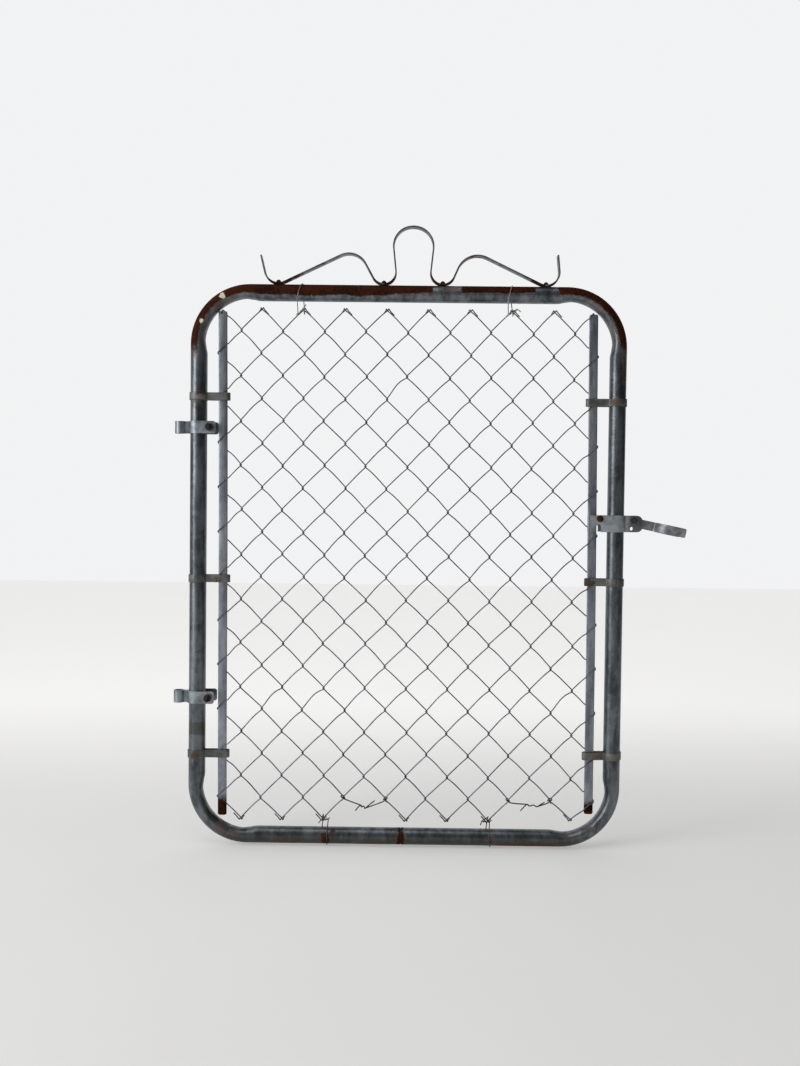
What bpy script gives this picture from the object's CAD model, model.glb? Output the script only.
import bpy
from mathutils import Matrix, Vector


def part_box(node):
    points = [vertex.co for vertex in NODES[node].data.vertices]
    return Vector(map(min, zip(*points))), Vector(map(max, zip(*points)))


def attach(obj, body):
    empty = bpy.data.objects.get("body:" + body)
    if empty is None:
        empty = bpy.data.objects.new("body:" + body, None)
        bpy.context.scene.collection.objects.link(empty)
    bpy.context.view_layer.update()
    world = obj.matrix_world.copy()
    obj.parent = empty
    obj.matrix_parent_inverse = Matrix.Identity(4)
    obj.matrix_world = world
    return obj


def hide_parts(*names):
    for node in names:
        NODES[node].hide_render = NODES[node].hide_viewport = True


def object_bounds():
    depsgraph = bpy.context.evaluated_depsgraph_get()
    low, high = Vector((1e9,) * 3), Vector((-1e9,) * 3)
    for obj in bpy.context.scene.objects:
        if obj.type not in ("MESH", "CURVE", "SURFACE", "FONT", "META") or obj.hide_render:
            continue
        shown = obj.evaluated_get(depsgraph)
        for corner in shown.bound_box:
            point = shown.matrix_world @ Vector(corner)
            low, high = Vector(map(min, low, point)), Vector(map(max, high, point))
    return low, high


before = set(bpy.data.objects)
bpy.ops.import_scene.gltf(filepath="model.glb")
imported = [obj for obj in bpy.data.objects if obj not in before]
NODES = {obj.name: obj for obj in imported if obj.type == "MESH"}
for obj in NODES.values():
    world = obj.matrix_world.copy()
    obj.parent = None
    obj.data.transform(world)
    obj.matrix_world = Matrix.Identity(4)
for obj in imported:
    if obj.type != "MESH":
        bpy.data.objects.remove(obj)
cad_box = [list(corner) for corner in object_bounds()]

import math

import bmesh
import bpy
from mathutils import Matrix, Vector

MM = 0.001
Y = Vector((0, 1, 0))

# ---- Sizes, in millimetres from the frame's lower left outer corner ----

tube_low, tube_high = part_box("frame_tube")
FRAME_W = (tube_high[0] - tube_low[0]) / MM
FRAME_H = (tube_high[2] - tube_low[2]) / MM
TUBE_R = (tube_high[1] - tube_low[1]) / MM / 2
TUBE_WALL = 1.6
BEND_R = 107
BEND_FLAT = 12.3
BUTT_X = 447
TOP_Z = FRAME_H - TUBE_R
RIGHT_X = FRAME_W - TUBE_R


def at(x, y, z):
    return Vector((tube_low[0] + x * MM, y * MM, tube_low[2] + z * MM))


def gate_box(node):
    """A CAD node's box as millimetres from the frame's lower left outer corner."""
    low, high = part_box(node)
    shift = Vector((tube_low[0], 0, tube_low[2]))
    return (Vector(low) - shift) / MM, (Vector(high) - shift) / MM


# ---- Node graphs for the materials ----


class Surface:
    """A material whose node graph is put together by short methods, in metres."""

    def __init__(self, name):
        self.material = bpy.data.materials.new(name)
        self.material.use_nodes = True
        self.tree = self.material.node_tree
        self.tree.nodes.clear()
        self.shader = self.tree.nodes.new("ShaderNodeBsdfPrincipled")
        out = self.tree.nodes.new("ShaderNodeOutputMaterial")
        self.tree.links.new(self.shader.outputs[0], out.inputs[0])
        self.where = self.tree.nodes.new("ShaderNodeTexCoord").outputs["Object"]

    def put(self, socket, value):
        if isinstance(value, bpy.types.NodeSocket):
            self.tree.links.new(value, socket)
        elif value is not None:
            if hasattr(value, "__len__") and len(value) == 3 and socket.type == "RGBA":
                value = (*value, 1)
            socket.default_value = value

    def math(self, op, a, b=None, c=None):
        n = self.tree.nodes.new("ShaderNodeMath")
        n.operation = op
        for socket, value in zip(n.inputs, (a, b, c)):
            self.put(socket, value)
        return n.outputs[0]

    def add(self, *values):
        total = values[0]
        for v in values[1:]:
            total = self.math("ADD", total, v)
        return total

    def times(self, a, b):
        return self.math("MULTIPLY", a, b)

    def most(self, *values):
        top = values[0]
        for v in values[1:]:
            top = self.math("MAXIMUM", top, v)
        return top

    def noise(self, scale, detail, rough=0.55, stretch=None):
        """Grain with features about 1/scale metres across; stretch shortens or lengthens it per axis."""
        n = self.tree.nodes.new("ShaderNodeTexNoise")
        n.inputs["Scale"].default_value = scale
        n.inputs["Detail"].default_value = detail
        n.inputs["Roughness"].default_value = rough
        where = self.where
        if stretch:
            m = self.tree.nodes.new("ShaderNodeMapping")
            m.inputs["Scale"].default_value = stretch
            self.tree.links.new(where, m.inputs[0])
            where = m.outputs[0]
        self.tree.links.new(where, n.inputs["Vector"])
        return n.outputs["Fac"]

    def cells(self, scale):
        n = self.tree.nodes.new("ShaderNodeTexVoronoi")
        n.inputs["Scale"].default_value = scale
        self.tree.links.new(self.where, n.inputs["Vector"])
        sep = self.tree.nodes.new("ShaderNodeSeparateColor")
        self.tree.links.new(n.outputs["Color"], sep.inputs[0])
        return sep.outputs[0]

    def rise(self, value, low, high, to_low=0.0, to_high=1.0):
        """A smooth rise from to_low to to_high as value goes from low to high."""
        n = self.tree.nodes.new("ShaderNodeMapRange")
        n.interpolation_type = "SMOOTHSTEP"
        for i, v in enumerate((value, low, high, to_low, to_high)):
            self.put(n.inputs[i], v)
        return n.outputs[0]

    def mix(self, fac, a, b):
        n = self.tree.nodes.new("ShaderNodeMix")
        n.data_type = "RGBA"
        self.put(n.inputs[0], fac)
        self.put(n.inputs[6], a)
        self.put(n.inputs[7], b)
        return n.outputs[2]

    def gate_xyz(self):
        """Millimetres from the frame's lower left outer corner, and the depth y from its middle."""
        sep = self.tree.nodes.new("ShaderNodeSeparateXYZ")
        self.tree.links.new(self.where, sep.inputs[0])
        x = self.math("MULTIPLY_ADD", sep.outputs[0], 1 / MM, -tube_low[0] / MM)
        z = self.math("MULTIPLY_ADD", sep.outputs[2], 1 / MM, -tube_low[2] / MM)
        y = self.math("MULTIPLY", sep.outputs[1], 1 / MM)
        return x, y, z

    def window(self, value, low, high, soft):
        up = self.rise(value, low - soft, low + soft)
        down = self.rise(value, high - soft, high + soft, 1.0, 0.0)
        return self.times(up, down)

    def spot(self, x, z, cx, cz, rx, rz, ragged, soft=0.35):
        """1 inside an ellipse round (cx, cz), 0 outside, its edge moved by ragged."""
        dx = self.math("MULTIPLY", self.math("SUBTRACT", x, cx), 1 / rx)
        dz = self.math("MULTIPLY", self.math("SUBTRACT", z, cz), 1 / rz)
        d = self.math("SQRT", self.add(self.times(dx, dx), self.times(dz, dz)))
        return self.rise(self.add(d, ragged), 1 - soft, 1 + soft, 1.0, 0.0)

    def finish(self, colour, rough, metal, height, distance=0.0004, strength=0.6):
        self.put(self.shader.inputs["Base Color"], colour)
        self.put(self.shader.inputs["Roughness"], rough)
        self.put(self.shader.inputs["Metallic"], metal)
        self.shader.inputs["Specular IOR Level"].default_value = 0.04
        bump = self.tree.nodes.new("ShaderNodeBump")
        bump.inputs["Strength"].default_value = strength
        bump.inputs["Distance"].default_value = distance
        self.put(bump.inputs["Height"], height)
        self.tree.links.new(bump.outputs[0], self.shader.inputs["Normal"])
        return self.material


RUST_DARK = (0.010, 0.0026, 0.0012)
RUST_BROWN = (0.044, 0.0088, 0.0030)
RUST_OCHRE = (0.190, 0.092, 0.040)
SOIL = (0.052, 0.050, 0.042)
CREAM_PAINT = (0.62, 0.56, 0.44)


def rust_colour(s, edge):
    """Brown to near black by patches, ochre where the rust is thin."""
    grain = s.rise(s.add(s.noise(160, 5, 0.65), s.times(s.noise(26, 3), 0.7)), 0.68, 1.0)
    deep = s.mix(grain, RUST_DARK, RUST_BROWN)
    return s.mix(edge, deep, RUST_OCHRE)


def zinc(name, light, dark, rough, metal, rust=None, freckles=0.0, streak=None, soil=None, paint=None):
    """Weathered galvanised zinc. rust, soil and paint give masks, and streak stretches the mottling."""
    s = Surface(name)
    patches = s.noise(34, 4, 0.6, streak)
    fine = s.noise(420, 4, 0.6)
    spangle = s.cells(95)
    tone = s.rise(s.add(s.times(patches, 1.1), s.times(fine, 0.35), s.times(spangle, 0.10)), 0.52, 1.02)
    colour = s.mix(tone, dark, light)
    # White bloom in small flecks
    bloom = tuple(min(1, 1.9 * c) for c in light)
    colour = s.mix(s.rise(s.noise(230, 4, 0.7), 0.64, 0.74, 0.0, 0.28), colour, bloom)
    if soil:
        colour = s.mix(soil(s), colour, SOIL)
    masks = [rust(s)] if rust else []
    if freckles or not rust:
        speckle = s.add(s.noise(75, 5, 0.7), s.times(s.noise(14, 2), 0.25))
        masks.append(s.rise(speckle, 0.83 - freckles, 0.93 - freckles))
    mask = s.most(*masks)
    thin_rust = s.rise(mask, 0.10, 0.75, 0.85, 0.05)
    colour = s.mix(mask, colour, rust_colour(s, thin_rust))
    roughness = s.add(rough - 0.10, s.times(patches, 0.20), s.times(mask, 0.38))
    metallic = s.rise(mask, 0.0, 0.7, metal, 0.05)
    if paint:
        chips = paint(s)
        bare = s.math("SUBTRACT", 1.0, chips)
        colour = s.mix(chips, colour, CREAM_PAINT)
        roughness = s.add(s.times(roughness, bare), s.times(chips, 0.6))
        metallic = s.times(metallic, bare)
    pits = s.times(s.noise(900, 4, 0.7), s.add(0.35, s.times(mask, 1.3)))
    height = s.add(pits, s.times(s.noise(60, 2), 0.5))
    return s.finish(colour, roughness, metallic, height)


# Stains on the frame: x, z, half width, half height, strength
FRAME_STAINS = (
    (70, 40, 13, 9, 0.42), (98, 22, 9, 8, 0.30), (841, 42, 9, 6, 0.5), (792, 27, 6, 7, 0.4),
    (447, 18, 8, 24, 1.0), (290, 13, 8, 12, 0.9), (306, 30, 5, 4, 0.7), (636, 14, 6, 9, 0.45),
    (712, 5, 60, 7, 0.5), (380, 4, 40, 5, 0.4), (198, 6, 30, 5, 0.4), (52, 1060, 7, 22, 0.6),
    (14, 930, 12, 10, 0.3), (897, 1020, 6, 46, 0.5), (535, 1158, 20, 5, 0.45),
)
# Rusty spots on the tension bands, given the same way
BAND_STAINS = (
    (25, 941, 9, 3.5, 0.8), (16, 188, 9, 8, 0.5), (830, 557, 16, 9, 0.75), (60, 556, 10, 6, 0.35),
    (880, 930, 12, 6, 0.4), (858, 193, 14, 6, 0.4),
)


def stained(s, mask, stains, ragged):
    """A rust mask with stains added to it."""
    x, _, z = s.gate_xyz()
    for cx, cz, rx, rz, strength in stains:
        mask = s.most(mask, s.times(s.spot(x, z, cx, cz, rx, rz, ragged), strength))
    return mask


def frame_rust(s):
    """Rust on the upper and outer half of the tube along the top, with stains elsewhere."""
    x, _, z = s.gate_xyz()
    ragged = s.add(s.noise(22, 4, 0.65), s.times(s.noise(110, 4, 0.7), 0.6))
    swing = s.math("SUBTRACT", ragged, 0.80)
    # Distance outwards from the tube's centreline, which is a rectangle with round corners
    half_w = FRAME_W / 2 - TUBE_R - BEND_R
    half_h = FRAME_H / 2 - TUBE_R - BEND_R
    qx = s.math("SUBTRACT", s.math("ABSOLUTE", s.math("SUBTRACT", x, FRAME_W / 2)), half_w)
    qz = s.math("SUBTRACT", s.math("ABSOLUTE", s.math("SUBTRACT", z, FRAME_H / 2)), half_h)
    px, pz = s.most(qx, 0.0), s.most(qz, 0.0)
    outside = s.math("SQRT", s.add(s.times(px, px), s.times(pz, pz)))
    outward = s.add(outside, s.math("MINIMUM", s.most(qx, qz), 0.0), -BEND_R)
    high = s.rise(s.add(z, s.times(swing, 60)), 1006, 1046)
    # Two stretches of the top rail have kept their zinc
    patch_a = s.window(s.add(x, s.times(swing, 26)), 502, 557, 5)
    patch_b = s.window(s.add(x, s.times(swing, 30)), 712, 757, 6)
    bare = s.most(patch_a, patch_b)
    deeper = s.times(s.rise(x, 330, 600, 6.5, 0.5), s.rise(x, 55, 170))
    upper = s.rise(s.add(outward, deeper, s.times(swing, 13), s.times(bare, -34)), -2.0, 2.0)
    mask = s.times(upper, high)
    # Thin tan rust on the corners' inner side
    corner = s.times(s.rise(z, 1035, 1075), s.most(s.rise(x, 120, 85), s.rise(x, 800, 835)))
    mask = s.most(mask, s.times(s.times(corner, 0.33), s.rise(ragged, 0.72, 0.95)))
    return stained(s, mask, FRAME_STAINS, s.times(swing, 2.4))


def frame_soil(s):
    """Darker bands: an old band's mark on the left stile, and the grimy bottom rail and right stile."""
    x, _, z = s.gate_xyz()
    mark = s.times(s.window(z, 229, 256, 1.5), s.rise(x, 60, 50))
    low = s.rise(s.add(z, s.times(s.noise(40, 3), 22)), 46, 18, 0.0, 0.80)
    right = s.times(s.rise(x, 850, 862), s.rise(s.noise(30, 4, 0.7, (1, 1, 0.25)), 0.45, 0.70, 0.0, 0.45))
    return s.most(s.times(mark, 0.55), low, right)


def paint_chips(s):
    """Two chips of old cream paint on the front of the upper left corner."""
    x, y, z = s.gate_xyz()
    ragged = s.times(s.math("SUBTRACT", s.noise(150, 3), 0.5), 2.2)
    upper = s.spot(x, z, 66.8, 1141, 5.5, 8, ragged, 0.15)
    lower = s.spot(x, z, 24.7, 1089, 4, 4.5, ragged, 0.15)
    return s.times(s.most(upper, lower), s.rise(y, -4, -7))


def bar_rust(s):
    """Rust at the foot of a tension bar."""
    z = s.gate_xyz()[2]
    ragged = s.times(s.noise(60, 4, 0.7), 26)
    return s.rise(s.add(z, ragged), 118, 98)


def band_rust(s):
    """A few rusty spots on each band."""
    ragged = s.times(s.math("SUBTRACT", s.noise(90, 4, 0.7), 0.5), 2.2)
    return stained(s, 0.0, BAND_STAINS, ragged)


def clamp_soil(s):
    """Grime round the pivot, where the fork rubs."""
    x = s.gate_xyz()[0]
    return s.times(s.rise(s.add(x, s.times(s.noise(80, 3), 16)), FRAME_W + 12, FRAME_W + 24), 0.62)


def strip_rust(s):
    """Patches of rust, more of them low on the scroll."""
    z = s.gate_xyz()[2]
    grain = s.add(s.noise(40, 4, 0.65), s.times(s.noise(170, 3), 0.3))
    low = s.rise(z, FRAME_H + 34, FRAME_H + 2, 0.0, 0.22)
    return s.rise(s.add(grain, low), 0.68, 0.90)


def fastener_rust(s):
    """Zinc almost gone: rust all over, with some grey left."""
    return s.rise(s.noise(170, 4, 0.7), 0.30, 0.52, 0.25, 1.0)


MATERIALS = {
    "frame": zinc(
        "frame_zinc", (0.190, 0.209, 0.227), (0.052, 0.058, 0.064), 0.35, 0.88,
        rust=frame_rust, streak=(1.5, 1.5, 0.28), soil=frame_soil, paint=paint_chips,
    ),
    "bar": zinc(
        "bar_zinc", (0.34, 0.365, 0.40), (0.16, 0.175, 0.205), 0.40, 0.85,
        rust=bar_rust, streak=(2, 2, 0.3),
    ),
    "band": zinc(
        "band_zinc", (0.205, 0.21, 0.20), (0.085, 0.09, 0.086), 0.5, 0.7, rust=band_rust, freckles=0.08,
    ),
    "fitting": zinc("fitting_zinc", (0.34, 0.375, 0.41), (0.12, 0.135, 0.148), 0.42, 0.82, freckles=0.04),
    "clamp": zinc(
        "clamp_zinc", (0.51, 0.55, 0.585), (0.19, 0.21, 0.225), 0.42, 0.82, freckles=0.02, soil=clamp_soil,
    ),
    "fork": zinc("fork_zinc", (0.50, 0.52, 0.54), (0.15, 0.155, 0.165), 0.48, 0.82, freckles=0.03),
    "strip": zinc("strip_zinc", (0.22, 0.235, 0.25), (0.075, 0.08, 0.088), 0.42, 0.8, rust=strip_rust),
    "wire": zinc("wire_zinc", (0.205, 0.215, 0.255), (0.052, 0.052, 0.064), 0.45, 0.75, freckles=0.09),
    "tie": zinc("tie_zinc", (0.46, 0.46, 0.44), (0.18, 0.17, 0.16), 0.4, 0.85, freckles=0.12),
    "low_tie": zinc("low_tie_zinc", (0.20, 0.18, 0.165), (0.055, 0.045, 0.040), 0.45, 0.7, freckles=0.22),
    "nut": zinc("nut_zinc", (0.085, 0.080, 0.078), (0.022, 0.020, 0.020), 0.5, 0.7, freckles=0.20),
    "fastener": zinc(
        "rusty_fastener", (0.10, 0.085, 0.08), (0.035, 0.028, 0.025), 0.55, 0.6, rust=fastener_rust,
    ),
    "hidden": zinc("sleeve_zinc", (0.16, 0.15, 0.15), (0.06, 0.05, 0.05), 0.55, 0.6, freckles=0.15),
}

# ---- Mesh helpers ----

WIRE_SIDES = 8
TURNED_SIDES = 36


def skin(bm, rings, close_path=False):
    """Joins rings of points, each a closed loop, into a skin. Its two ends are capped, or joined."""
    made = [[bm.verts.new(p) for p in ring] for ring in rings]
    pairs = list(zip(made, made[1:] + made[:1])) if close_path else list(zip(made, made[1:]))
    n = len(made[0])
    for a, b in pairs:
        for i in range(n):
            bm.faces.new((a[i], a[(i + 1) % n], b[(i + 1) % n], b[i]))
    if not close_path:
        bm.faces.new(list(reversed(made[0])))
        bm.faces.new(made[-1])


def piece(bm, node, detail, material, sharp=38):
    """Turns a bmesh into a piece that stands for a CAD node of the gate and rides with it."""
    name = f"{node}_{detail}"
    bmesh.ops.recalc_face_normals(bm, faces=bm.faces)
    mesh = bpy.data.meshes.new(name)
    bm.to_mesh(mesh)
    bm.free()
    for polygon in mesh.polygons:
        polygon.use_smooth = True
    mesh.set_sharp_from_angle(angle=math.radians(sharp))
    mesh.materials.append(MATERIALS[material])
    o = bpy.data.objects.new(name, mesh)
    bpy.context.scene.collection.objects.link(o)
    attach(o, "gate")
    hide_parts(node)


def round_section(r, sides):
    angles = (2 * math.pi * i / sides for i in range(sides))
    return [(r * math.cos(a), r * math.sin(a)) for a in angles]


def rounded_section(w, h, r):
    """A rectangle w by h with round corners, as a loop."""
    steps = 3
    loop = []
    for cx, cy, start in ((1, 1, 0), (-1, 1, 90), (-1, -1, 180), (1, -1, 270)):
        for i in range(steps + 1):
            a = math.radians(start + 90 * i / steps)
            loop.append((cx * (w / 2 - r) + r * math.cos(a), cy * (h / 2 - r) + r * math.sin(a)))
    return loop


def tangents(path):
    ends = zip([path[0], *path], [*path[1:], path[-1]])
    return [(b - a).normalized() for a, b in ends]


def sweep_flat(bm, path, section):
    """A section swept along a path in the gate's plane; its first coordinate lies in that plane."""
    rings = []
    for p, t in zip(path, tangents(path)):
        side = t.cross(Y).normalized()
        rings.append([at(*(p + side * u + Y * v)) for u, v in section])
    skin(bm, rings)


def sweep_wire(bm, path, r):
    """A round wire along any path, without twist. Its ends are slightly domed."""
    ts = tangents(path)
    side = ts[0].orthogonal().normalized()
    rings = []
    for i, (p, t) in enumerate(zip(path, ts)):
        if i:
            side = (ts[i - 1].rotation_difference(t) @ side).normalized()
            side = (side - t * side.dot(t)).normalized()
        up = t.cross(side)
        rings.append([at(*(p + side * u + up * v)) for u, v in round_section(r, WIRE_SIDES)])
    for end, p, t in ((0, path[0], -ts[0]), (-1, path[-1], ts[-1])):
        centre = at(*p)
        tip = [centre + (q - centre) * 0.6 + t * (r * 0.35 * MM) for q in rings[end]]
        rings.insert(0 if end == 0 else len(rings), tip)
    skin(bm, rings)


def smooth(points, per):
    """A Catmull-Rom curve through points, with per steps from each to the next."""
    pts = [points[0] * 2 - points[1], *points, points[-1] * 2 - points[-2]]
    out = []
    for a, b, c, d in zip(pts, pts[1:], pts[2:], pts[3:]):
        for i in range(per):
            t = i / per
            square, cube = 2 * a - 5 * b + 4 * c - d, 3 * b - a - 3 * c + d
            out.append(0.5 * (2 * b + (c - a) * t + square * t * t + cube * t ** 3))
    return [*out, points[-1]]


def arc(cx, cy, r, start, end, count):
    return [
        (cx + r * math.cos(math.radians(a)), cy + r * math.sin(math.radians(a)))
        for a in (start + (end - start) * i / count for i in range(count + 1))
    ]


def direction(angle):
    """A unit vector in the gate's plane, in degrees from +X towards +Z."""
    return Vector((math.cos(math.radians(angle)), 0, math.sin(math.radians(angle))))


def lathe(origin, axis, profile, sides, outline=None):
    """Rings of a profile of (radius, height) turned about an axis. outline(a, r) may limit r."""
    axis = Vector(axis).normalized()
    u = axis.orthogonal().normalized()
    if abs(axis.y) > 0.9:
        u = Vector((1, 0, 0))
    v = axis.cross(u)
    rings = []
    for r, h in profile:
        ring = []
        for i in range(sides):
            a = 2 * math.pi * i / sides
            k = outline(a, r) if outline else r
            ring.append(at(*(origin + axis * h + (u * math.cos(a) + v * math.sin(a)) * k)))
        rings.append(ring)
    return rings


def dome(r, h):
    """A profile from the rim of a domed head up to near its top."""
    steps = 7
    big = (r * r + h * h) / (2 * h)
    top = math.asin(r / big)
    angles = (top * (1 - i / steps) for i in range(steps + 1))
    return [(big * math.sin(a) + 0.02, h - big * (1 - math.cos(a))) for a in angles]


def hexagon(flats, turn):
    """The limit that a hexagon across its flats puts on a turned radius."""
    def outline(a, r):
        local = (a + turn) % (math.pi / 3) - math.pi / 6
        return min(r, flats / 2 / math.cos(local))
    return outline


def hex_nut(bm, origin, axis, flats, height, bore, turn):
    """A nut with chamfered corners and a plain, chamfered bore; without a bore it is a bolt's head."""
    corner = flats / math.sqrt(3)
    inner = flats / 2 * 0.96
    drop = (corner - inner) * 0.55
    outside = [(inner, 0.0), (corner, drop), (corner, height - drop), (inner, height)]
    if bore:
        inside = [(bore + 0.7, height), (bore, height - 0.8), (bore, 0.8), (bore + 0.7, 0.0)]
        rings = lathe(origin, axis, outside + inside, TURNED_SIDES, hexagon(flats, turn))
        skin(bm, rings, True)
    else:
        crown = [(inner * 0.7, height + 0.15), (inner * 0.2, height + 0.2)]
        rings = lathe(origin, axis, outside + crown, TURNED_SIDES, hexagon(flats, turn))
        skin(bm, rings)


def thread(bm, origin, axis, r, length, plain, pitch):
    """A bolt's shank from origin along axis: plain first, then threads, then a chamfered end."""
    profile = [(r, 0.0), (r, plain)]
    h = plain
    while h + pitch < length - 0.6:
        profile += [(r - 0.75, h + pitch * 0.45), (r - 0.05, h + pitch * 0.9)]
        h += pitch
    profile += [(r - 0.2, length - 0.8), (r - 1.0, length)]
    skin(bm, lathe(origin, axis, profile, 24))


# ---- Frame tube: bends squashed on the inside, butted in the bottom rail ----

# Distances from a bend at which the straight tube has extra rings, for the squash to fade over
FADE = (2.5, 5, 8, 11, 15, 20, 26, 34, 44)
BUTT_GAP = 0.4
RUN_STEP, CLEAR = 60, 50
BEND_STEPS = 18


def frame_stations():
    """Centreline points, once round from the butt."""
    low_z, high_z = TUBE_R + BEND_R, TOP_Z - BEND_R
    left_x, right_x = TUBE_R + BEND_R, RIGHT_X - BEND_R
    bends = ((right_x, low_z, -90), (right_x, high_z, 0), (left_x, high_z, 90), (left_x, low_z, 180))
    path = [Vector((BUTT_X + BUTT_GAP, 0, TUBE_R))]
    for x, z, start in bends:
        turned = [direction(start + 90 * i / BEND_STEPS) for i in range(BEND_STEPS + 1)]
        bend = [Vector((x, 0, z)) + BEND_R * d for d in turned]
        last = path[-1]
        run = (bend[0] - last).length
        steps = max(2, int(run // RUN_STEP))
        cuts = [run * i / steps for i in range(1, steps) if CLEAR < run * i / steps < run - CLEAR]
        if len(path) > 1:
            cuts += FADE
        cuts = sorted([*cuts, *(run - d for d in FADE)])
        heading = (bend[0] - last).normalized()
        path += [last + heading * c for c in cuts]
        path += bend
    last = path[-1]
    run = BUTT_X - BUTT_GAP - last.x
    path += [last + Vector((c, 0, 0)) for c in (*FADE, *(run * i / 5 for i in range(2, 5)), run)]
    return path


def squash(p):
    """How much the inner half is pushed in at a point of the centreline, and the dent at a bend's ends."""
    qx = abs(p.x - FRAME_W / 2) - (FRAME_W / 2 - TUBE_R - BEND_R)
    qz = abs(p.z - FRAME_H / 2) - (FRAME_H / 2 - TUBE_R - BEND_R)
    inside = min(qx, qz)
    t = min(1, max(0, (inside + 20) / 34))
    t = t * t * (3 - 2 * t)
    dent = math.exp(-(((inside + 9) / 7) ** 2))
    return (TUBE_R - BEND_FLAT) * t + 0.9 * dent


def make_frame():
    path = frame_stations()
    outer, inner = [], []
    middle = Vector((FRAME_W / 2, 0, FRAME_H / 2))
    for p, t in zip(path, tangents(path)):
        out = t.cross(Y)
        if out.dot(p - middle) < 0:
            out = -out
        push = squash(p)
        for rings, r in ((outer, TUBE_R), (inner, TUBE_R - TUBE_WALL)):
            ring = []
            for u, v in round_section(1, TURNED_SIDES):
                reach = r * u if u > 0 else (r - push) * u
                ring.append(at(*(p + out * reach + Y * (r + push * 0.06) * v)))
            rings.append(ring)
    bm = bmesh.new()
    skin(bm, outer + inner[::-1], True)
    piece(bm, "frame_tube", "bent", "frame")


# ---- Tension bars, leaning as they stand on the gate ----

BAR_W, BAR_T = 18.5, 4.8
# x and z of each end, and where in its slow wave a bar starts
BARS = {
    "left": {"top": (66.6, 1111.5), "foot": (72.0, 57.5), "phase": 4},
    "right": {"top": (836.2, 1112.0), "foot": (841.4, 69.5), "phase": 5},
}


def bar_x(side, z):
    """The middle of a bar at height z."""
    (x1, z1), (x0, z0) = BARS[side]["top"], BARS[side]["foot"]
    return x0 + (x1 - x0) * (z - z0) / (z1 - z0) + 0.7 * math.sin(z / 190 + BARS[side]["phase"])


def make_bar(side):
    """One flat bar with round edges and rounded-off ends, very slightly bowed."""
    z0, z1 = BARS[side]["foot"][1], BARS[side]["top"][1]
    ends = [0.0, 0.4, 1.0, 2.0, 3.4]
    middle = [z0 + 5 + (z1 - z0 - 10) * i / 44 for i in range(45)]
    corner = 3.6
    rings = []
    for z in [z0 + d for d in ends] + middle + [z1 - d for d in reversed(ends)]:
        d = min(z - z0, z1 - z)
        cut = corner - math.sqrt(corner ** 2 - (corner - d) ** 2) if d < corner else 0
        section = rounded_section(BAR_W - 2 * cut, BAR_T, 1.9)
        bow = 0.25 * math.sin(z / 83)
        rings.append([at(bar_x(side, z) + u, bow + v, z) for u, v in section])
    bm = bmesh.new()
    skin(bm, rings)
    piece(bm, f"tension_bar_{side}", "worn", "bar", sharp=50)


# ---- Chain-link mesh ----

WIRE_R = 1.25
HALF_COLS, HALF_ROWS = 18, 23
MESH_TOP = FRAME_H - 2 * TUBE_R - 15
MESH_BOTTOM = 2 * TUBE_R + 15
ROW_H = (MESH_TOP - MESH_BOTTOM) / HALF_ROWS
# Distances of the outer wires' middles from the middle of a bar, at its edge and at its faces
WRAP = BAR_W / 2 + WIRE_R + 0.25
BAR_PASS = BAR_T / 2 + WIRE_R + 0.35
# Radius of the turn where two wires hook into each other
HOOK_R = 1.8
EDGE_ALLOWANCE = 5.5
FIRST_COL = gate_box("mesh_wire_01")[0].x + WIRE_R
LAST_COL = gate_box("mesh_wire_18")[1].x - WIRE_R
COL_W = (LAST_COL - FIRST_COL - 2 * EDGE_ALLOWANCE) / HALF_COLS
# Columns whose bottom point is gone, with a repair wire in its place
REPAIRED = (7, 15)
# Bottom points that are out of line: column, sideways, upwards
STRAY_POINTS = ((17, 0, 17), (9, 3, 0))


def row_z(row):
    return MESH_TOP - row * ROW_H


def wobble(col, row):
    """The small unevenness of a hand-stretched mesh, the same for both wires at a point."""
    dx = 1.1 * math.sin(col * 1.7 + row * 0.6) + 0.7 * math.sin(col * 0.9 - row * 1.3)
    dz = 0.9 * math.sin(col * 1.1 - row * 0.8 + 1) + 0.5 * math.sin(row * 2.1 + col)
    return dx, dz


def col_x(col, z):
    """Where a column of points lies at height z; the outer two follow their bars."""
    if col == 0:
        return bar_x("left", z) - WRAP
    if col == HALF_COLS:
        return bar_x("right", z) + WRAP
    lean = -2.6 + 5.4 * (MESH_TOP - z) / (MESH_TOP - MESH_BOTTOM)
    return FIRST_COL + EDGE_ALLOWANCE + col * COL_W + lean


def node_point(col, row):
    """The point where two wires hook together."""
    z = row_z(row)
    dx, dz = wobble(col, row)
    if col in (0, HALF_COLS):
        return col_x(col, z), z + dz * 0.5
    edge = 0.3 if row in (0, HALF_ROWS) else 1
    for stray_col, sideways, upwards in STRAY_POINTS:
        if (col, row) == (stray_col, HALF_ROWS):
            dx += sideways
            dz += upwards
    return col_x(col, z) + dx * edge, z + dz * edge


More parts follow.
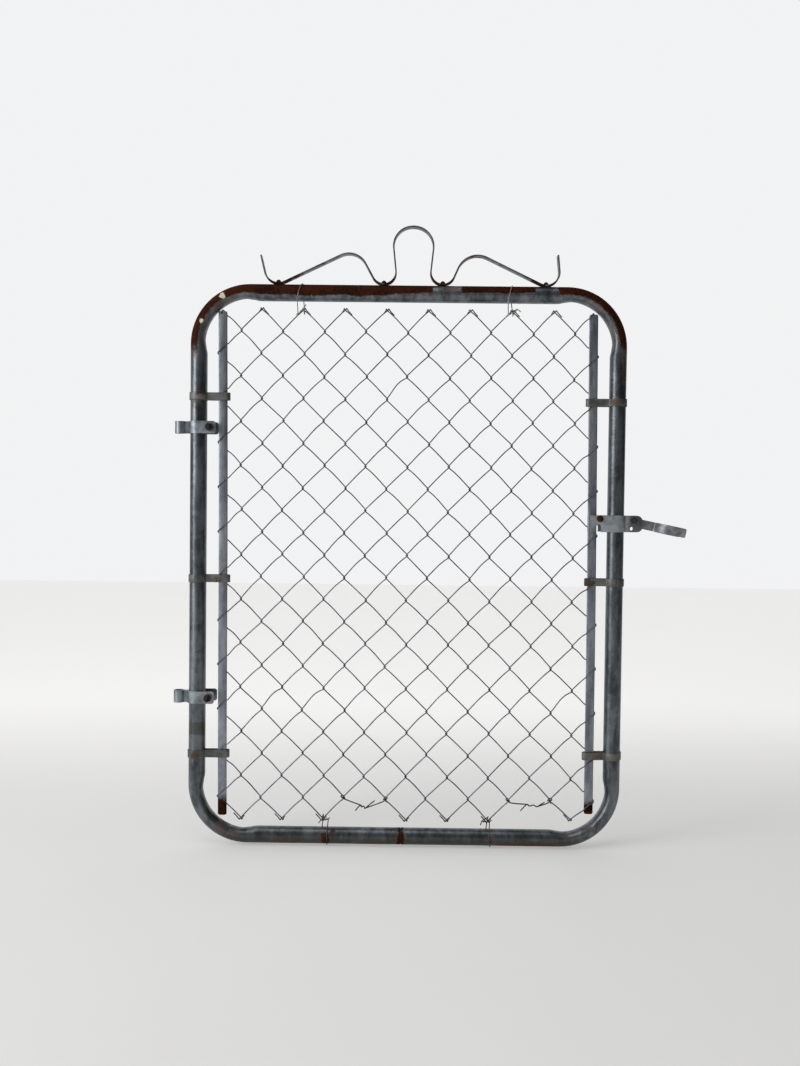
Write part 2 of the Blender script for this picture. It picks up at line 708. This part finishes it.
def turn(k, row):
    """The helical turn of wire k at the end of a row, from one face of the mesh to the other."""
    odd_col, even_col = (k - 1, k) if k % 2 == 0 else (k, k - 1)
    col = even_col if row % 2 == 0 else odd_col
    s = 1 if col == k else -1
    x, z = node_point(col, row)
    outer = col in (0, HALF_COLS)
    r = BAR_PASS if outer else HOOK_R
    drop = 4.6 if outer else 2.6
    cx = (x if outer else x + s * 1.4) - s * r
    out = []
    for i in range(9):
        a = math.pi * i / 8
        out.append(Vector((cx + s * r * math.sin(a), s * r * math.cos(a), z + drop - 2 * drop * i / 8)))
    if outer:
        # The stretches stay clear of the bar until they have passed its inner edge
        bar_side = "right" if s == 1 else "left"
        before, after = (
            Vector((bar_x(bar_side, z + bar_dz) - s * (BAR_W / 2 + 2.5), y, z + dz))
            for bar_dz, dz, y in ((26, 19.5, out[0].y), (-26, -19.5, out[-1].y))
        )
        out = [before, *out, after]
    return out


def folded_end(last, side, up, long):
    """A knuckle at the mesh's edge: the end bends over the point and back along its neighbour."""
    x, y, z = last
    face = -1 if long else 1
    reach = 12.5 if long else 5.5
    out = [
        Vector((x + side * 0.9, y * 0.2 + face * 0.6, z + up * 1.3)),
        Vector((x + side * 2.3, face * 2.6, z - up * 0.4)),
    ]
    for t in (0.45, 1.0):
        out.append(Vector((x + side * reach * t, face * 4.1, z - up * (reach * t * 1.05 - 0.5))))
    return out


# Middles of the stretches that have been knocked out of line, x and z
BOWED = ((434, 953), (252, 296), (163, 297), (790, 299))


def stretch_bow(a, b):
    """How far a stretch of wire from a to b bows at its middle, as a vector."""
    mid = (a + b) / 2
    along = (b - a).normalized()
    across = along.cross(Y)
    if across.z < 0:
        across = -across
    front = mid.y < 0
    knocked = front and any(math.hypot(mid.x - x, mid.z - z) < 15 for x, z in BOWED)
    slight = 0.9 + 0.9 * math.sin(mid.x * 0.071 + mid.z * 0.047) + (0.4 if front else 0)
    return across * (5.0 if knocked else slight)


def over_bar(side):
    """The top of an outer wire: up one face of the bar, over its end and down the other."""
    s = 1 if side == "left" else -1
    top = BARS[side]["top"][1]
    x, y, crest = bar_x(side, top), -s * BAR_PASS, top + WIRE_R + 0.7
    return [
        Vector((x - s * 3.5, y, top - 6)), Vector((x - s * 1.6, y * 0.93, top - 0.5)),
        Vector((x, y * 0.55, crest)), Vector((x + s * 1.3, -y * 0.55, crest)),
        Vector((x + s * 4, -y * 0.97, top - 1.5)), Vector((x + s * 9.5, -y, top - 9)),
    ]


def bowed(points):
    """Points with the long stretches between them bowed a little, and none nearly coincident."""
    least, long_stretch, steps = 0.25, 20, 8
    path = [points[0]]
    for p in points[1:]:
        a = path[-1]
        gap = (p - a).length
        if gap < least:
            continue
        if gap > long_stretch:
            bow = stretch_bow(a, p)
            for i in range(1, steps):
                t = i / steps
                path.append(a.lerp(p, t) + bow * math.sin(math.pi * t ** 0.7) ** 1.4)
        path.append(p)
    return path


def make_mesh_wire(k):
    """One zig-zag wire, turn by turn from the top down."""
    even = k % 2 == 0
    cut_short = any(k in (col, col + 1) for col in REPAIRED)
    rows = HALF_ROWS - 1 if cut_short else HALF_ROWS
    turns = [turn(k, row) for row in range(rows + 1)]
    if k in (1, HALF_COLS):
        points = smooth(over_bar("left" if k == 1 else "right"), 4)
    else:
        keep = turns[0][4:]
        knuckle = folded_end(keep[0], 1 if even else -1, 1, even)
        points = smooth([*reversed(knuckle), *keep[1:3]], 4) + keep[3:]
    for middle_turn in turns[1:-1]:
        points += middle_turn
    points += turns[-1][:5]
    if cut_short:
        tip = points[-1]
        side = -1 if even else 1
        stub = [tip + Vector((side, 2.0 - tip.y * 0.8, -3.5)), tip + Vector((side * -3, 2.6, -7.5))]
        points += smooth([tip, *stub], 4)[1:]
    else:
        knuckle = folded_end(points[-1], -1 if even else 1, -1, even)
        points = points[:-2] + smooth([*points[-2:], *knuckle], 4)
    bm = bmesh.new()
    sweep_wire(bm, bowed(points), WIRE_R)
    piece(bm, f"mesh_wire_{k:02d}", "woven", "wire", sharp=70)


# ---- Tie wires and repair wires ----

TIE_R = 1.05
# Radii at which the strands of a twisted pair lie from its middle
TIE_TWIST_R, REPAIR_TWIST_R = 1.15, 1.35
# Where the ties' knots lie in front of the mesh, then each tie's place, column, turns and knot
FRONT_Y = -6.2
TIES = (
    ("top_left", 4, 2.2, ((-11, 0, -11), (1, -1, 1), (5, -2, 8), (-15, -1, -13))),
    ("top_right", 14, 2.8, ((-9, 0, -9), (8, -1.5, 2), (16, -1, -3), (-16, -2, -16))),
    ("bottom_left", 5, 2.4, ((12, 0, 3), (-1, -1.5, 1), (-8, -2, -5), (15, -1, 6))),
    ("bottom_right", 13, 2.6, ((4, 0, 2), (-12, -1.5, 3), (-15, -1, -5), (8, -2, 6))),
)


def twist(start, end, turns, phase, r, tail):
    """One strand of a twisted pair from start to end, with its tail."""
    per = 9
    axis = (end - start).normalized()
    u = axis.cross(Y).normalized()
    v = axis.cross(u)
    count = int(per * turns)
    out = []
    for i in range(count + 1):
        a = phase + 2 * math.pi * turns * i / count
        out.append(start.lerp(end, i / count) + (u * math.cos(a) + v * math.sin(a)) * r)
    last = out[-1]
    return out + smooth([last, last.lerp(tail, 0.45) + Vector((0, 0.5, 0.4)), tail], 4)[1:]


def thin(path):
    """A path without points that nearly coincide."""
    least = 0.3
    out = [path[0]]
    for p in path[1:]:
        if (p - out[-1]).length >= least:
            out.append(p)
    return out


def make_tie(place, col, turns, knot):
    """A loop round a rail and through the mesh point, its two ends twisted together in front.

    knot gives, from the mesh point, where the twist starts and ends and where its two tails end.
    """
    top = place.startswith("top")
    rail_z = TOP_Z if top else TUBE_R
    sign = -1 if top else 1
    x, z = node_point(col, 0 if top else HALF_ROWS)
    knot_from, knot_to, tail_a, tail_b = (Vector((x + dx, FRONT_Y + dy, z + dz)) for dx, dy, dz in knot)
    r = TUBE_R + TIE_R + 0.35
    loop = []
    for i in range(25):
        a = math.radians(-38 + 262 * i / 24)
        loop_x = knot_from.x + (x - knot_from.x) * i / 24 + 3 * math.sin(a)
        loop.append(Vector((loop_x, -r * math.cos(a), rail_z - sign * r * math.sin(a))))
    back = [Vector((x + 1, 5.6, z + sign * 7)), Vector((x + 0.5, 0, z + sign * 9.5))]
    a = twist(knot_from, knot_to, turns, 0.4, TIE_TWIST_R, tail_a)
    b = twist(knot_to, knot_from, turns, 0.4 + math.pi * (1 - 2 * turns), TIE_TWIST_R, tail_b)
    first = smooth([a[2], a[1], a[0], *loop, *back, b[0], b[1], b[2]], 5)
    bm = bmesh.new()
    sweep_wire(bm, thin([*reversed(a[3:]), *first, *b[3:]]), TIE_R)
    piece(bm, f"tie_wire_{place}", "twisted", "tie" if top else "low_tie", sharp=70)


# Column, then x and z of where the twist starts and ends and where its two tails end
REPAIR_Y, REPAIR_TAIL_Y = -5.5, -6.5
REPAIRS = {
    "left": (7, (362, 82), (374, 78), (392, 93), (352, 72)),
    "right": (15, (711, 88), (734, 86), (748, 94), (698, 76)),
}


def repair_hook(col, s, leaves_z, aims_z):
    """A wire's end hooked over a mesh point from behind, then off towards side s of it in front."""
    x, z = node_point(col, HALF_ROWS - 1)
    steps = (
        (3.5, 3.3, -3), (0.5, 4.0, 2.4), (-2.9, 2.4, 3.6), (-4.4, -2.6, 2.4),
        (-0.5, -4.6, leaves_z), (8, -4.6, aims_z),
    )
    return [Vector((x + s * dx, y, z + dz)) for dx, y, dz in steps]


def make_repair(side):
    """Two ends hooked over the points either side of a missing one, twisted together between them."""
    col, start, end, tail_a, tail_b = REPAIRS[side]
    knot, knot_end = (Vector((x, REPAIR_Y, z)) for x, z in (start, end))
    tail_a, tail_b = (Vector((x, REPAIR_TAIL_Y, z)) for x, z in (tail_a, tail_b))
    left = repair_hook(col - 1, 1, 0.2, -4)
    right = repair_hook(col + 1, -1, -1.2, -6)
    turns = 1.6
    a = twist(knot, knot_end, turns, 0.0, REPAIR_TWIST_R, tail_a)
    b = twist(knot_end, knot, turns, math.pi * (1 - 2 * turns), REPAIR_TWIST_R, tail_b)
    bm = bmesh.new()
    for hook, strand in ((left, a), (right, b)):
        sweep_wire(bm, thin([*smooth([*hook, *strand[:2]], 6), *strand[2:]]), WIRE_R)
    piece(bm, f"repair_wire_{side}", "twisted", "nut", sharp=70)


# ---- Tension bands: closed straps with their ends lapped at the back ----

BAND_H, BAND_T = 16, 1.9


def make_band(side, place, tilt):
    """One strap from its lap round the bar, back to the stile, round it and over the lap."""
    node = f"tension_band_{side}_{place}"
    low, high = gate_box(node)
    mid_z = (low.z + high.z) / 2
    s = 1 if side == "left" else -1
    stile = TUBE_R if side == "left" else RIGHT_X
    bar = bar_x(side, mid_z)
    r = TUBE_R + 0.2 + BAND_T / 2
    half = BAR_PASS + WIRE_R + 0.25 + BAND_T / 2
    reach = abs(bar - stile) + BAR_W / 2 + WIRE_R * 2 + 1.6 + BAND_T / 2 - half
    fillet = 5.0
    fx = math.sqrt((r + fillet) ** 2 - (half + fillet) ** 2)
    angle = math.degrees(math.atan2(half + fillet, fx))
    rear_fillet = arc(fx, half + fillet, fillet, 180 + angle, 270, 6)
    front_fillet = arc(fx, -half - fillet, fillet, 90, 180 - angle, 6)
    bar_end = arc(reach, 0, half, 90, -90, 14)
    stile_turn = arc(0, 0, r, -angle, -360 + angle, 40)
    inner_lap = [(fx + 3, half), (fx + 12, half)]
    over = half + BAND_T + 0.1
    outer_lap = [(fx + 4, half + BAND_T * 0.9), (fx + 10, over), (fx + 22, over)]
    loop = [*inner_lap, *bar_end, *front_fillet, *stile_turn, *rear_fillet[1:-1], *outer_lap]
    path = [Vector((stile + s * x, y, 0)) for x, y in loop]
    rings = []
    section = rounded_section(BAND_T, BAND_H, 0.7)
    for p, t in zip(path, tangents(path)):
        across = t.cross(Vector((0, 0, 1))).normalized()
        lift = math.tan(math.radians(tilt)) * (p.x - (stile + bar) / 2)
        rings.append([at(*(p + across * u + Vector((0, 0, mid_z + v + lift)))) for u, v in section])
    bm = bmesh.new()
    skin(bm, rings)
    piece(bm, node, "lapped", "band", sharp=50)


# ---- Scroll strip and its rivets ----

SCROLL_X = FRAME_W / 2 + 6.5
STRIP_W, STRIP_T = 19, 3.2
# From the apex outwards: straight length, bend radius, turn in degrees
SCROLL_RIGHT = ((2, 41, -96), (45.7, 25, 162), (21, 44, -91.5), (123.6, 27, 121), (33, 0, 0))
SCROLL_LEFT = ((0, 39.5, -96), (47.3, 25, 157), (33, 39.5, -86.5), (128.7, 29, 102), (36, 0, 0))
# The rivets' places from the apex
SCROLL_FEET = (-277.4, -59.1, 62.9, 276.5)


def bent_path(steps, start, heading):
    """Points along straight lengths and arcs: (length, radius, turn in degrees)."""
    path = [start]
    for length, r, angle in steps:
        if length:
            here = path[-1]
            count = max(1, int(length // 25))
            path += [here + direction(heading) * (length * i / count) for i in range(1, count + 1)]
        if angle:
            s = math.copysign(1, angle)
            centre = path[-1] + s * r * direction(heading + 90)
            count = math.ceil(abs(angle) / 4)
            for i in range(1, count + 1):
                path.append(centre - s * r * direction(heading + angle * i / count + 90))
            heading += angle
    return path


def make_scroll():
    apex = Vector((SCROLL_X, 0, gate_box("scroll_strip")[1].z - STRIP_T / 2))
    right = bent_path(SCROLL_RIGHT, apex, 0)
    left = [Vector((2 * apex.x - p.x, 0, p.z)) for p in bent_path(SCROLL_LEFT, apex, 0)]
    bm = bmesh.new()
    sweep_flat(bm, [*reversed(left), *right[1:]], rounded_section(STRIP_T, STRIP_W, 0.7))
    piece(bm, "scroll_strip", "bent", "strip", sharp=50)


def make_rivets():
    """Domed heads on short shanks, each set a little askew."""
    shank, head_r, head_h, rim_h = 9, 5.0, 6.0, 2.4
    seat = gate_box("scroll_rivets")[0].z + shank
    profile = [(2.3, -7.0), (2.3, -0.4), (head_r - 0.5, -0.4), (head_r, 0.2), (head_r, rim_h)]
    profile += [(max(0.4, r - 0.02), h + rim_h) for r, h in dome(head_r, head_h - rim_h)]
    bm = bmesh.new()
    for i, foot in enumerate(SCROLL_FEET):
        base = Vector((SCROLL_X + foot, 0, seat))
        skin(bm, lathe(base, (0.03 * (i - 1.5), 0.02, 1), profile, 22))
    piece(bm, "scroll_rivets", "domed", "fastener")


# ---- Hinge and latch fasteners ----

FORWARD, BACKWARD = (0, -1, 0), (0, 1, 0)
SHANK_OVERLAP = 1


def node_middle(node):
    """The middle of a CAD node's box."""
    low, high = gate_box(node)
    return (low + high) / 2


def hex_bolt(bm, x, z, ends, head_h, flats, r, plain, pitch, spin):
    """A bolt with its head at the back, from the highest to the lowest y of its CAD node."""
    low, high = ends
    seat = high.y - head_h
    hex_nut(bm, Vector((x, seat, z)), BACKWARD, flats, head_h, 0, spin)
    start = seat + SHANK_OVERLAP
    thread(bm, Vector((x, start, z)), FORWARD, r, start - low.y, plain, pitch)


def make_hinge_fasteners():
    nut_low, nut_high = gate_box("hinge_nuts")
    washer_low, washer_high = gate_box("hinge_washers")
    x = (nut_low.x + nut_high.x) / 2
    flats, washer_t = 14.3, washer_high.y - washer_low.y
    washer = [(10, 0.35), (10, washer_t - 0.35), (9.6, washer_t), (5.3, washer_t)]
    washer += [(5.0, washer_t - 0.3), (5.0, 0.3), (5.3, 0), (9.6, 0)]
    bolts, nuts, washers = bmesh.new(), bmesh.new(), bmesh.new()
    for i, strap in enumerate(("hinge_strap_lower", "hinge_strap_upper")):
        z = node_middle(strap).z
        spin = 0.3 + 0.55 * i
        hex_bolt(bolts, x, z, gate_box("hinge_bolts"), 6, flats, 4.75, 26, 1.5, spin)
        hex_nut(nuts, Vector((x, nut_high.y, z)), FORWARD, flats, nut_high.y - nut_low.y, 4.9, spin + 0.4)
        skin(washers, lathe(Vector((x, washer_high.y, z)), FORWARD, washer, TURNED_SIDES), True)
    piece(bolts, "hinge_bolts", "threaded", "nut", sharp=30)
    piece(nuts, "hinge_nuts", "chamfered", "nut", sharp=30)
    piece(washers, "hinge_washers", "round", "fitting", sharp=30)


def make_latch_fasteners():
    flats, bolt_r, bore, fine_pitch = 12.7, 4, 4.15, 1.25
    place = node_middle("latch_clamp_nut")
    low, high = gate_box("latch_clamp_bolt")
    head_h, head_r = 4.5, 7
    seat = low.y + head_h
    start = seat - SHANK_OVERLAP
    head = [(4.0, -0.6), (6.2, -0.05), (6.9, 0.05)]
    head += [(max(0.4, r - 0.02), h + 0.1) for r, h in dome(head_r, head_h - 0.2)]
    bm = bmesh.new()
    skin(bm, lathe(Vector((place.x, seat, place.z)), FORWARD, head, 30))
    thread(bm, Vector((place.x, start, place.z)), BACKWARD, bolt_r, high.y - start, 30, fine_pitch)
    piece(bm, "latch_clamp_bolt", "domed", "fastener", sharp=30)
    low, high = gate_box("latch_clamp_nut")
    bm = bmesh.new()
    hex_nut(bm, Vector((place.x, low.y, place.z)), BACKWARD, flats, high.y - low.y, bore, 0.3)
    piece(bm, "latch_clamp_nut", "chamfered", "nut", sharp=30)
    place = node_middle("latch_pivot_nut")
    bm = bmesh.new()
    hex_bolt(bm, place.x, place.z, gate_box("latch_pivot_bolt"), 5, flats, bolt_r, 14, fine_pitch, 0.2)
    piece(bm, "latch_pivot_bolt", "threaded", "nut", sharp=30)
    low, high = gate_box("latch_pivot_nut")
    bm = bmesh.new()
    hex_nut(bm, Vector((place.x, high.y, place.z)), FORWARD, flats, high.y - low.y, bore, 0.8)
    piece(bm, "latch_pivot_nut", "chamfered", "nut", sharp=30)


# ---- CAD nodes that keep their shape: worn edges and a better material ----


def wear(node, material, width):
    """Rounds a CAD node's edges, evens its shading and gives it a material."""
    o = NODES[node]
    o.data.materials.clear()
    o.data.materials.append(MATERIALS[material])
    for polygon in o.data.polygons:
        polygon.material_index = 0
        polygon.use_smooth = True
    o.data.set_sharp_from_angle(angle=math.radians(32))
    bevel = o.modifiers.new("worn_edges", "BEVEL")
    bevel.width = width * MM
    bevel.segments = 2
    bevel.limit_method = "ANGLE"
    bevel.angle_limit = math.radians(40)
    even = o.modifiers.new("even_shading", "WEIGHTED_NORMAL")
    even.keep_sharp = True


# ---- Build ----

make_frame()
for bar_side in BARS:
    make_bar(bar_side)
for k in range(1, HALF_COLS + 1):
    make_mesh_wire(k)
for bar_side in BARS:
    for place in ("upper", "middle", "lower"):
        tilt = 2.0 if (bar_side, place) == ("right", "lower") else 0.0
        make_band(bar_side, place, tilt)
for tie in TIES:
    make_tie(*tie)
for repair_side in REPAIRS:
    make_repair(repair_side)
make_scroll()
make_rivets()
make_hinge_fasteners()
make_latch_fasteners()
wear("frame_splice_sleeve", "hidden", 0.2)
for node, material in (
    ("hinge_strap_upper", "fitting"), ("hinge_strap_lower", "fitting"),
    ("latch_clamp_front", "clamp"), ("latch_clamp_rear", "clamp"),
    ("fork_tine_front", "fork"), ("fork_tine_rear", "fork"),
):
    wear(node, material, 0.5)

# ---- Floor, light and camera ----

FLOOR_REACH = 7
BACKDROP = 0.90

floor_mesh = bpy.data.meshes.new("floor")
bm = bmesh.new()
bmesh.ops.create_grid(bm, x_segments=2, y_segments=2, size=FLOOR_REACH)
bm.to_mesh(floor_mesh)
bm.free()
floor = bpy.data.objects.new("floor", floor_mesh)
floor.location = (tube_low[0] + FRAME_W * MM / 2, 0, cad_box[0][2] - 0.0005)
bpy.context.scene.collection.objects.link(floor)
s = Surface("floor_pale")
floor_colour = s.mix(s.noise(1.2, 4), (0.60, 0.595, 0.58), (0.66, 0.655, 0.645))
floor_rough = s.add(0.45, s.times(s.noise(5, 3), 0.2))
s.finish(floor_colour, floor_rough, 0.0, s.noise(60, 3), distance=0.0005, strength=0.2)
s.shader.inputs["Emission Color"].default_value = (0.95, 0.945, 0.935, 1)
# Brighter away behind the gate, where the floor meets the bright end of the room
s.put(s.shader.inputs["Emission Strength"], s.rise(s.gate_xyz()[1], 30, 1700, 0.31, 0.60))
floor_mesh.materials.append(s.material)

bpy.context.scene.view_settings.view_transform = "Standard"
world = bpy.data.worlds.new("studio")
bpy.context.scene.world = world
world.use_nodes = True
tree = world.node_tree
tree.nodes.clear()
background = tree.nodes.new("ShaderNodeBackground")
out = tree.nodes.new("ShaderNodeOutputWorld")
tree.links.new(background.outputs[0], out.inputs[0])
coords = tree.nodes.new("ShaderNodeTexCoord")
split = tree.nodes.new("ShaderNodeSeparateXYZ")
tree.links.new(coords.outputs["Generated"], split.inputs[0])


def world_range(value, low, high, to_low, to_high):
    """A smooth rise from to_low to to_high as value goes from low to high."""
    n = tree.nodes.new("ShaderNodeMapRange")
    n.interpolation_type = "SMOOTHSTEP"
    tree.links.new(value, n.inputs[0])
    for socket, v in zip(n.inputs[1:5], (low, high, to_low, to_high)):
        if isinstance(v, bpy.types.NodeSocket):
            tree.links.new(v, socket)
        else:
            socket.default_value = v
    return n.outputs[0]


# A pale room, brighter behind the gate and dim on its right
room_side = world_range(split.outputs[0], -0.75, 0.50, 0.47, 0.08)
brightness = world_range(split.outputs[1], 0.36, 0.82, room_side, BACKDROP)
# The backdrop itself is pale all round
seen = tree.nodes.new("ShaderNodeMath")
seen.operation = "MULTIPLY"
tree.links.new(tree.nodes.new("ShaderNodeLightPath").outputs["Is Camera Ray"], seen.inputs[0])
seen.inputs[1].default_value = BACKDROP
backdrop = tree.nodes.new("ShaderNodeMath")
backdrop.operation = "MAXIMUM"
tree.links.new(brightness, backdrop.inputs[0])
tree.links.new(seen.outputs[0], backdrop.inputs[1])
tint = tree.nodes.new("ShaderNodeMix")
tint.data_type = "RGBA"
tree.links.new(backdrop.outputs[0], tint.inputs[0])
tint.inputs[6].default_value = (0.0, 0.0, 0.0, 1)
tint.inputs[7].default_value = (0.985, 0.99, 1.0, 1)
tree.links.new(tint.outputs[2], background.inputs[0])


def soft_light(name, place, aim, width, height, power):
    """A rectangular area light, metres and watts."""
    data = bpy.data.lights.new(name, "AREA")
    data.shape = "RECTANGLE"
    data.size, data.size_y, data.energy = width, height, power
    o = bpy.data.objects.new(name, data)
    o.location = place
    o.rotation_euler = (Vector(aim) - Vector(place)).to_track_quat("-Z", "Y").to_euler()
    bpy.context.scene.collection.objects.link(o)


centre = Vector((tube_low[0] + FRAME_W * MM / 2, 0, tube_low[2] + FRAME_H * MM / 2))
soft_light("window_left", centre + Vector((-3.0, -1.9, 0.9)), centre, 1.5, 2.4, 58)
soft_light("ceiling_fill", centre + Vector((-0.6, -0.9, 2.8)), centre, 2.4, 2.0, 20)

camera_data = bpy.data.cameras.new("camera")
camera_data.sensor_fit = "VERTICAL"
camera_data.sensor_height = 36
camera_data.lens = 35.65
camera_data.dof.use_dof = False
camera = bpy.data.objects.new("camera", camera_data)
pitch, yaw, roll = -0.0294, -0.0072, 0.0113
forward = Vector((math.sin(yaw) * math.cos(pitch), math.cos(yaw) * math.cos(pitch), math.sin(pitch)))
right = Vector((math.cos(yaw), -math.sin(yaw), 0))
up = right.cross(forward)
right_rolled = math.cos(roll) * right + math.sin(roll) * up
up_rolled = -math.sin(roll) * right + math.cos(roll) * up
basis = Matrix((right_rolled, up_rolled, -forward)).transposed().to_4x4()
camera.matrix_world = Matrix.Translation(at(454.9, -2202.0, 719.8)) @ basis
bpy.context.scene.collection.objects.link(camera)
bpy.context.scene.camera = camera
